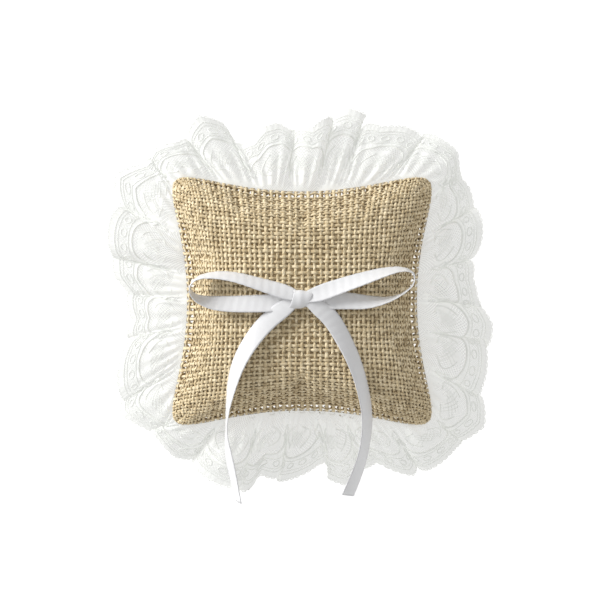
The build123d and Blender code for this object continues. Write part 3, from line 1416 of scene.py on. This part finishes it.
@dataclass
class RibbonBow:
    """The satin ribbon: two loops, two tails and the knot between them."""

    form: CushionForm
    width: float = 7.0 * MM
    thickness: float = 0.28 * MM
    columns: int = 12
    pinch: float = 0.42  # share of the width that the knot squeezes out
    pinch_reach: float = 5.0  # millimetres
    stretches: list[Stretch] = field(default_factory=lambda: BOW_STRETCHES)

    def band(
        self, line: np.ndarray, rolls: np.ndarray, hand: int, name: str, finish: bpy.types.Material,
        narrow: np.ndarray | float = 1.0, cup: float = 0.25 * MM, face_up: bool = False,
    ) -> bpy.types.Object:
        """A ribbon along a line.

        Args:
            line: the points of its middle.
            rolls: its roll at each point, in degrees; 0 is satin side up.
            hand: 1, or -1 for a mirrored stretch.
            name: the piece's name.
            finish: its material.
            narrow: share of its width at each point, where it is squeezed.
            cup: how far its middle bows out.
            face_up: whether its satin side always points up.

        Returns:
            The piece.
        """
        along = unit(np.gradient(line, axis=0))
        level = unit(np.cross(along, UP)) * hand
        upright = unit(np.cross(level, along)) * hand
        angle = np.radians(rolls)[:, None]
        across = level * np.cos(angle) + upright * np.sin(angle)
        through = unit(np.cross(along, across))
        through *= np.where(through[:, 2:] < 0, -1, 1) if face_up else 1
        part = np.linspace(-1, 1, self.columns)
        squeeze = np.broadcast_to(np.asarray(narrow, float), len(line))[:, None, None]
        run = np.concatenate([[0], np.cumsum(np.linalg.norm(np.diff(line, axis=0), axis=1))])
        ripple = 0.05 * MM * np.sin(run[:, None] / MM * 1.9 + part[None] * 1.3)[..., None]
        sheets = []
        for side in (1, -1):
            lift = (cup * (1 - part**2) - cup / 2)[None, :, None] + ripple + side * self.thickness / 2
            sheets.append(
                line[:, None] + across[:, None] * part[None, :, None] * self.width / 2 * squeeze
                + through[:, None] * lift
            )
        shell = np.concatenate([sheets[0], sheets[1][:, ::-1]], axis=1)
        both = np.concatenate([part, part[::-1]])
        chart = np.stack(np.broadcast_arrays(run[:, None], (both * self.width / 2)[None]), axis=-1)
        stock = MeshStock()
        stock.grid(shell, chart, wrap=True)
        last = (len(line) - 1) * shell.shape[1]
        stock.caps.append(list(range(shell.shape[1] - 1, -1, -1)))
        stock.caps.append(list(range(last, last + shell.shape[1])))
        return stock.cut(name, finish)

    def stretch(self, plan: Stretch, finish: bpy.types.Material) -> None:
        """Make one loop or tail, squeezed where it meets the knot.

        Args:
            plan: its route, rolls and joint.
            finish: its material.
        """
        line = read_route([tuple(value * MM for value in point) for point in plan.route], 10)
        places = np.linspace(0, 1, len(plan.rolls))
        run = np.concatenate([[0], np.cumsum(np.linalg.norm(np.diff(line, axis=0), axis=1))])
        rolls = np.interp(run / run[-1], places, plan.rolls)
        window = np.ones(ROLL_WINDOW) / ROLL_WINDOW
        rolls = np.convolve(np.pad(rolls, ROLL_WINDOW // 2, mode="edge"), window, mode="valid")
        pinch = 1 - self.pinch * np.exp(-((run / MM) / self.pinch_reach) ** 2)
        if not plan.free_end:
            pinch = pinch - self.pinch * np.exp(-(((run[-1] - run) / MM) / self.pinch_reach) ** 2)
        piece = self.band(line, rolls, plan.hand, plan.name, finish, pinch, face_up=plan.free_end)
        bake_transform(piece)
        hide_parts(plan.node)
        LOG.info("%s: %.1f mm of ribbon, on %s", plan.name, float(run[-1]) / MM, plan.body)

    def knot(self, finish: bpy.types.Material) -> None:
        """The wrap that closes the bow, with pleats drawn into it.

        Args:
            finish: its material.
        """
        top = self.form.top_z
        turn = np.linspace(-0.25 * math.pi, 1.25 * math.pi, 40)
        stock = MeshStock()
        rows = []
        part = np.linspace(-1, 1, 21)
        for angle in turn:
            pull = 1 - 0.12 * math.sin(angle)
            x = part * 4.0 * MM * pull - 0.3 * MM + 1.0 * MM * math.cos(angle)
            crease = 0.07 * MM * np.cos(part * 6.5 + 1.6 * math.cos(angle) + 0.5)
            swell = 1 + 0.05 * (1 - part**2) - 0.12 * np.abs(part) ** 3 - 0.17 * part
            y = 0.6 * MM + (3.1 * MM * swell + crease) * math.cos(angle)
            z = top + 1.7 * MM + (2.2 * MM * swell + crease) * math.sin(angle)
            rows.append(np.stack([x, y, np.broadcast_to(z, x.shape)], axis=-1))
        points = np.array(rows)
        run = (turn - turn[0]) * 3.4 * MM
        chart = np.stack(np.broadcast_arrays(run[:, None], (part * 3.5 * MM)[None]), axis=-1)
        stock.grid(points, chart, wrap=False)
        piece = stock.cut("bow_knot_wrap", finish)
        solid = piece.modifiers.new("ribbon", "SOLIDIFY")
        solid.thickness = self.thickness
        settle(piece, PILLOW, "ribbon", "bow_knot")

    def build(self) -> None:
        """Make and place the whole bow."""
        satin = SatinFinish().make()
        for plan in self.stretches:
            self.stretch(plan, satin)
        self.knot(satin)


# ---------------------------------------------------------------- threads


@dataclass
class Stitching:
    """The threads that hold the pillow together."""

    form: CushionForm

    def round_line(self, inset: float, height: float, steps: int) -> tuple[np.ndarray, np.ndarray]:
        """A line round the cushion inside its seam, and its share of the way at each point.

        Args:
            inset: metres inside the seam.
            height: its z, in metres.
            steps: points round it.

        Returns:
            Its points, and the turn at each in radians.
        """
        turn = np.linspace(0, 2 * math.pi, steps, endpoint=False)
        u, v = np.cos(turn), np.sin(turn)
        reach = np.maximum(np.abs(u), np.abs(v))
        x, y = self.form.plan(u / reach, v / reach)
        line = np.stack([x, y, np.full_like(x, height)], axis=-1)
        return line * np.array([1 - inset / self.form.half_x, 1 - inset / self.form.half_y, 1]), turn

    def running(
        self, name: str, inset: float, drop: float, swing: float, stitches: int, finish: bpy.types.Material
    ) -> bpy.types.Object:
        """A thread that dips in and out of the cloth as it goes round.

        Args:
            name: the piece's name.
            inset: metres inside the seam.
            drop: metres below the seam.
            swing: how far it dips each way.
            stitches: how many go round.
            finish: the piece's material.

        Returns:
            The piece.
        """
        line, turn = self.round_line(inset, self.form.seam_z - drop, stitches * 6)
        line[:, 2] += swing * np.sin(turn * stitches)
        stock = MeshStock()
        stock.cord(line, np.tile(UP, (len(line), 1)), 0.2 * MM, 0.2 * MM, sides=5, closed=True)
        return stock.cut(name, finish)

    def closing(self, finish: bpy.types.Material) -> bpy.types.Object:
        """Slanted hand stitches over the gap in the lower edge.

        Args:
            finish: the piece's material.

        Returns:
            The piece.
        """
        stock = MeshStock()
        span = np.linspace(-20, 20, 11) * MM
        arc = np.linspace(0, math.pi, 8)
        for middle in span:
            u = middle / self.form.half_x / 0.81
            edge = self.form.plan(np.array([u]), np.array([-1.0]))[1][0]
            x = middle + 1.1 * MM * np.cos(arc)
            y = edge + 0.2 * MM - 0.7 * MM * np.sin(arc)
            z = self.form.seam_z - 1.4 * MM - 1.2 * MM * np.cos(arc)
            line = np.stack([x, y, z], axis=-1)
            stock.cord(line, np.tile([0.0, -1.0, 0.0], (len(line), 1)), 0.22 * MM, 0.22 * MM, sides=5)
        return stock.cut("closing_hand_stitches", finish)

    def tack(self, finish: bpy.types.Material) -> bpy.types.Object:
        """The loop of thread that holds the knot to the front.

        Args:
            finish: the piece's material.

        Returns:
            The piece.
        """
        arc = np.linspace(0, 2 * math.pi, 24, endpoint=False)
        x, z = 2.0 * MM * np.cos(arc), self.form.top_z - 1.6 * MM + 2.6 * MM * np.sin(arc)
        line = np.stack([x, np.full_like(x, 0.4 * MM), z], axis=-1)
        stock = MeshStock()
        stock.cord(line, np.tile([0.0, 1.0, 0.0], (24, 1)), 0.22 * MM, 0.22 * MM, sides=5, closed=True)
        return stock.cut("bow_tack_thread", finish)

    def build(self) -> None:
        """Make and place every thread."""
        tan = ClothFinish("tan_thread", shade(206, 186, 146), shade(160, 138, 98), 6000.0).make()
        white = ClothFinish("white_thread", shade(246, 246, 244), shade(214, 214, 210), 6000.0).make()
        rounds = (
            ("seam_lockstitch", 0.9, 0.0, 0.9, 150, tan, "tan_thread", "seam_thread"),
            ("gathering_running_stitch", 0.6, 1.2, 0.4, 120, white, "white_thread", "gathering_thread"),
            ("inner_bag_stitch", 4.4, 0.0, 0.5, 130, tan, "tan_thread", "lining_seam_thread"),
        )
        for name, inset, drop, swing, stitches, finish, slot, node in rounds:
            piece = self.running(name, inset * MM, drop * MM, swing * MM, stitches, finish)
            settle(piece, PILLOW, slot, node)
        settle(self.closing(tan), PILLOW, "tan_thread", "closing_stitches")
        settle(self.tack(white), PILLOW, "white_thread", "bow_tack_stitch")


# ---------------------------------------------------------------- outlines and routes, in millimetres

# The lace's outer reach in plan, lobe by lobe, from the right side round by the top.
FRILL_RIM = [
    (70.0, 1.6), (68.8, 9.2), (70.4, 14.8), (71.6, 24.8), (71.2, 31.2), (66.8, 45.2), (63.6, 48.8),
    (61.2, 59.2), (52.4, 65.2), (41.6, 69.6), (32.0, 70.0), (28.4, 73.2), (18.8, 77.2), (11.2, 74.8),
    (4.4, 68.8), (-0.8, 70.0), (-4.4, 68.4), (-9.6, 71.2), (-15.2, 70.0), (-19.6, 65.2), (-25.2, 65.2),
    (-31.6, 71.2), (-40.4, 72.4), (-49.2, 62.8), (-58.8, 60.0), (-63.2, 54.8), (-75.2, 50.8),
    (-75.6, 36.8), (-75.2, 10.4), (-70.4, 4.0), (-67.2, -7.2), (-71.6, -18.0), (-72.8, -23.6),
    (-72.8, -45.2), (-58.8, -52.8), (-51.2, -62.8), (-44.8, -65.2), (-31.6, -72.8), (-21.6, -74.8),
    (-16.4, -68.4), (-10.8, -71.6), (6.8, -68.4), (17.6, -72.8), (29.6, -64.0), (44.8, -70.4),
    (50.4, -68.4), (61.2, -58.4), (72.4, -49.6), (72.4, -34.4), (73.2, -18.0), (74.4, -9.2),
]

BOW_STRETCHES = [
    Stretch(
        "satin_loop_left", "bow_loop_left", "left_loop",
        [
            (0.0, 1.2, 38.6), (-6.0, 3.4, 38.5), (-13.0, 5.6, 38.3), (-19.5, 7.6, 38.2), (-26.5, 9.6, 37.6),
            (-34.0, 10.4, 36.9), (-41.0, 9.4, 36.4), (-44.2, 5.6, 36.2), (-42.6, 1.6, 36.0),
            (-37.0, -0.6, 35.8), (-30.0, -1.2, 36.0), (-22.0, -1.2, 36.9), (-13.0, -0.9, 37.3),
            (-5.0, -0.3, 37.4),
            (0.0, 0.2, 37.5),
        ],
        [158, 148, 138, 130, 124, 116, 104, 90, 62, 38, 26, 20, 12, 6, 0],
        1, (-6.0, 0.0, 37.5), (-18.0, 0.0, 37.5),
    ),
    Stretch(
        "satin_loop_right", "bow_loop_right", "right_loop",
        [
            (0.0, 1.0, 38.8), (6.0, 2.6, 39.0), (12.0, 4.8, 39.0), (18.2, 6.9, 39.3), (24.5, 8.9, 39.2),
            (31.5, 11.1, 38.3), (38.6, 12.6, 37.3), (43.6, 11.2, 36.7), (43.9, 6.8, 36.3),
            (39.6, 3.0, 36.1), (33.5, 0.5, 36.3), (25.5, -0.4, 36.9), (18.5, 0.1, 37.3), (12.0, 0.3, 37.4),
            (5.0, 0.3, 37.5), (0.0, 0.3, 37.5),
        ],
        [166, 158, 150, 142, 134, 124, 110, 96, 90, 84, 68, 42, 24, 12, 6, 0],
        -1, (6.0, 0.0, 37.5), (18.0, 0.0, 37.5),
    ),
    Stretch(
        "satin_tail_left", "ribbon_tail_left", "left_tail",
        [
            (-1.6, 0.6, 38.9), (-7.4, -3.0, 38.5), (-13.8, -8.1, 37.6), (-19.6, -15.0, 36.6),
            (-24.9, -24.0, 36.3),
            (-28.2, -35.0, 33.8), (-29.9, -46.5, 28.4), (-29.4, -58.0, 21.2), (-27.4, -69.5, 17.0),
            (-25.2, -79.6, 15.0),
        ],
        [0, 6, 20, 36, 54, 76, 88, 66, 64, 74],
        -1, (-8.0, -4.0, 38.0), (-17.0, -12.5, 38.0), True,
    ),
    Stretch(
        "satin_tail_right", "ribbon_tail_right", "right_tail",
        [
            (1.4, 0.6, 39.1), (6.2, -2.2, 38.7), (11.2, -6.4, 37.8), (15.6, -13.6, 36.7), (20.4, -23.2, 36.2),
            (24.0, -34.2, 33.8), (25.9, -46.0, 28.4), (24.9, -57.5, 21.5), (22.0, -68.0, 17.2),
            (18.2, -76.9, 15.2),
        ],
        [0, 8, 24, 38, 46, 52, 56, 58, 52, 48],
        1, (7.0, -3.0, 38.0), (14.5, -11.0, 38.0), True,
    ),
]


# ---------------------------------------------------------------- studio


@dataclass
class Studio:
    """A white table top, soft daylight from the upper left, and a camera looking straight down."""

    middle: tuple[float, float] = (-0.0008, 0.0004)
    view_width: float = 0.240
    camera_height: float = 1.3
    table: float = 3.0

    def lamp(self, name: str, place: tuple, size: float, power: float) -> None:
        """An area lamp that points at the pillow.

        Args:
            name: the lamp's name.
            place: where it is, in metres.
            size: its width, in metres.
            power: in watts.
        """
        data = bpy.data.lights.new(name, "AREA")
        data.size = size
        data.energy = power
        lamp = bpy.data.objects.new(name, data)
        lamp.location = place
        aim = np.array([0.0, 0.0, 0.02]) - np.array(place)
        pitch = math.atan2(math.hypot(aim[0], aim[1]), -aim[2])
        lamp.rotation_euler = (pitch, 0.0, math.atan2(aim[1], aim[0]) - math.pi / 2)
        bpy.context.scene.collection.objects.link(lamp)

    def build(self) -> None:
        """Make the table, the lamps, the sky and the camera."""
        stock = MeshStock()
        line = np.linspace(-self.table / 2, self.table / 2, 5)
        x, y = np.meshgrid(line, line, indexing="ij")
        stock.grid(np.stack([x, y, np.zeros_like(x)], axis=-1), np.stack([x, y], axis=-1), wrap=False)
        white = Graph("table_white")
        white.set(Base_Color=(0.42, 0.42, 0.42), Roughness=0.9, Specular_IOR_Level=0.1)
        white.set(Emission_Color=(1.0, 1.0, 1.0), Emission_Strength=0.8)
        table = stock.cut("table_top", white.material)
        self.lamp("window", (-0.90, 0.44, 0.40), 0.40, 11.2)
        self.lamp("fill", (0.2, -0.3, 1.3), 1.2, 1.0)
        world = bpy.data.worlds.new("studio")
        world.use_nodes = True
        world.node_tree.nodes["Background"].inputs["Color"].default_value = (1, 1, 1, 1)
        world.node_tree.nodes["Background"].inputs["Strength"].default_value = 0.55
        bpy.context.scene.world = world
        data = bpy.data.cameras.new("camera")
        data.sensor_width = 36
        data.lens = 36 * self.camera_height / self.view_width
        camera = bpy.data.objects.new("camera", data)
        camera.location = (*self.middle, self.camera_height)
        bpy.context.scene.collection.objects.link(camera)
        bpy.context.scene.camera = camera
        bpy.context.scene.view_settings.view_transform = "Standard"


def main() -> None:
    """Build the pillow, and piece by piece."""
    logging.basicConfig(level=logging.INFO, format="%(name)s: %(message)s")
    Studio().build()
    low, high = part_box("front_panel")
    seam_z = (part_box("back_panel")[1][2] + low[2]) / 2
    form = CushionForm(
        half_x=(high[0] - low[0]) / 2 * PANEL_SPREAD[0],
        half_y=(high[1] - low[1]) / 2 * PANEL_SPREAD[1],
        seam_z=seam_z,
        top_z=high[2],
    )
    RibbonBow(form).build()
    form.stuff()
    BurlapCover(form).build()
    InnerBag(form).build()
    LaceFrill(form).build()
    Stitching(form).build()


if __name__ == "__main__":
    main()
